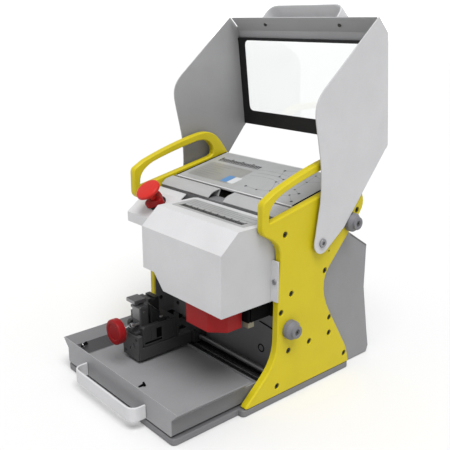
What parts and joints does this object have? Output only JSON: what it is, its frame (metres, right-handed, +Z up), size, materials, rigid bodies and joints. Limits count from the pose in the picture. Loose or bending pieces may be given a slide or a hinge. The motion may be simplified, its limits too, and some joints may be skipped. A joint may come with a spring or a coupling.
{
  "type": "key duplicating machine",
  "caption": "Bench-top key duplicating machine with a flip-up windowed guard, chip tray, key clamp on cross slides, spindle head, tablet rest and stop button.",
  "frame": {"origin": "the middle of the base plate's underside, level with the bench top", "axes": "+Z up, -Y towards the operator, +X to the operator's right"},
  "size_m": [0.3334, 0.4326, 0.5564],
  "materials": {
    "base_grey": "satin powder coat, grey",
    "yellow": "satin powder coat, yellow",
    "dark_grey": "satin powder coat, dark grey",
    "housing_grey": "satin powder coat, mid grey",
    "white": "satin powder coat, off-white",
    "cover_white": "satin powder coat, light grey",
    "black_plastic": "black, satin",
    "stop_red": "red, smooth",
    "guard_red": "dark red, smooth",
    "clear": "clear sheet",
    "steel": "turned and ground",
    "black_steel": "black oxide",
    "jaw_steel": "darkened, ground",
    "rubber": "grey, matt",
    "belt": "black, matt",
    "nylon": "natural, matt",
    "brass": "turned"
  },
  "bodies": {
    "frame": {"base_plate": "base_grey", "side_plate_right": "yellow", "side_plate_left": "yellow", "inner_wall": "dark_grey", "rear_housing": "housing_grey", "console_chassis": "housing_grey", "console_panel": "white", "tablet_rest_left": "white", "tablet_rest_right": "white", "head_cover": "white", "stop_panel": "white", "stop_collar": "black_plastic", "pivot_pin_right": "steel", "pivot_pin_left": "steel", "bumper_open_right": "rubber", "bumper_open_left": "rubber", "bumper_closed_right": "rubber", "bumper_closed_left": "rubber", "tray_runner_right": "nylon", "tray_runner_left": "nylon", "bed_x": "black_steel", "rail_x_front": "steel", "rail_x_rear": "steel", "motor_x": "black_plastic", "spindle_guard": "guard_red", "guard_bracket": "black_steel", "rail_z": "steel", "motor_z": "black_plastic", "power_module": "black_plastic"},
    "cover": {"cover_cheek_right": "cover_white", "cover_cheek_left": "cover_white", "cover_top": "cover_white", "window_frame": "black_plastic", "window_pane": "clear", "cover_handle": "white"},
    "tray": {"chip_tray": "housing_grey", "tray_handle": "white"},
    "cross_slide": {"carriage_x": "black_steel", "arm_y": "black_steel"},
    "cross_screw": {"screw_x": "steel"},
    "clamp": {"saddle_y": "black_steel", "jaw_rear": "jaw_steel"},
    "long_screw": {"screw_y": "steel"},
    "moving_jaw": {"jaw_front": "jaw_steel"},
    "knob": {"clamp_knob": "guard_red", "clamp_screw": "steel"},
    "head": {"carriage_z": "black_steel", "spindle_plate": "steel", "spindle_body": "steel", "tracer_probe": "brass", "spindle_motor": "black_plastic", "drive_belt": "belt"},
    "head_screw": {"screw_z": "steel"},
    "spindle": {"spindle_shaft": "steel", "cutter": "jaw_steel"},
    "pulley": {"motor_pulley": "steel"},
    "stop_twist": {"stop_grip": "stop_red"},
    "stop_push": {"stop_cap": "stop_red"},
    "rocker": {"power_rocker": "stop_red"}
  },
  "joints": [
    {"name": "cover_hinge", "type": "hinge", "parent": "frame", "child": "cover", "pos_m": [0, 0.0869, 0.2292], "axis": [1, 0, 0], "range_deg": [0, 143.2]},
    {"name": "tray_slide", "type": "slide", "parent": "frame", "child": "tray", "axis": [0, -1, 0], "range_m": [0, 0.15]},
    {"name": "cross_travel", "type": "slide", "parent": "frame", "child": "cross_slide", "axis": [1, 0, 0], "range_m": [0, 0.17]},
    {"name": "cross_screw_turn", "type": "hinge", "parent": "frame", "child": "cross_screw", "pos_m": [0, 0.0223, 0.03], "axis": [1, 0, 0], "range_deg": [-10, 6200]},
    {"name": "long_travel", "type": "slide", "parent": "cross_slide", "child": "clamp", "axis": [0, 1, 0], "range_m": [0, 0.016]},
    {"name": "long_screw_turn", "type": "hinge", "parent": "cross_slide", "child": "long_screw", "pos_m": [-0.073, -0.042, 0.034], "axis": [0, 1, 0], "range_deg": [-10, 1900]},
    {"name": "jaw_travel", "type": "slide", "parent": "clamp", "child": "moving_jaw", "axis": [0, 1, 0], "range_m": [-0.006, 0.0034]},
    {"name": "knob_turn", "type": "hinge", "parent": "clamp", "child": "knob", "pos_m": [-0.073, -0.11, 0.072], "axis": [0, -1, 0], "range_deg": [-560, 330]},
    {"name": "head_travel", "type": "slide", "parent": "frame", "child": "head", "axis": [0, 0, 1], "range_m": [-0.02, 0.006]},
    {"name": "head_screw_turn", "type": "hinge", "parent": "frame", "child": "head_screw", "pos_m": [0.0765, 0.0235, 0.17], "axis": [0, 0, 1], "range_deg": [-1500, 500]},
    {"name": "spindle_spin", "type": "hinge", "parent": "head", "child": "spindle", "pos_m": [0.0765, -0.056, 0.19], "axis": [0, 0, 1], "continuous": true},
    {"name": "motor_spin", "type": "hinge", "parent": "head", "child": "pulley", "pos_m": [0.108, -0.009, 0.21], "axis": [0, 0, 1], "continuous": true},
    {"name": "stop_release", "type": "hinge", "parent": "frame", "child": "stop_twist", "pos_m": [-0.0865, -0.024, 0.2572], "axis": [0, -0.5876, 0.8092], "range_deg": [-30, 0], "stiffness_Nm_per_rad": 0.05},
    {"name": "stop_press", "type": "slide", "parent": "stop_twist", "child": "stop_push", "axis": [0, 0.5876, -0.8092], "range_m": [0, 0.0045], "stiffness_N_per_m": 600},
    {"name": "power_switch", "type": "hinge", "parent": "frame", "child": "rocker", "pos_m": [-0.06, 0.2166, 0.153], "axis": [1, 0, 0], "range_deg": [0, 18]}
  ],
  "couplings": [
    {"joint": "cross_screw_turn", "follows": "cross_travel", "rad_per_m": 628.32},
    {"joint": "long_screw_turn", "follows": "long_travel", "rad_per_m": 1256.6},
    {"joint": "knob_turn", "follows": "jaw_travel", "rad_per_m": 1570.8},
    {"joint": "head_screw_turn", "follows": "head_travel", "rad_per_m": 1256.6},
    {"joint": "motor_spin", "follows": "spindle_spin", "ratio": 1.3529}
  ]
}
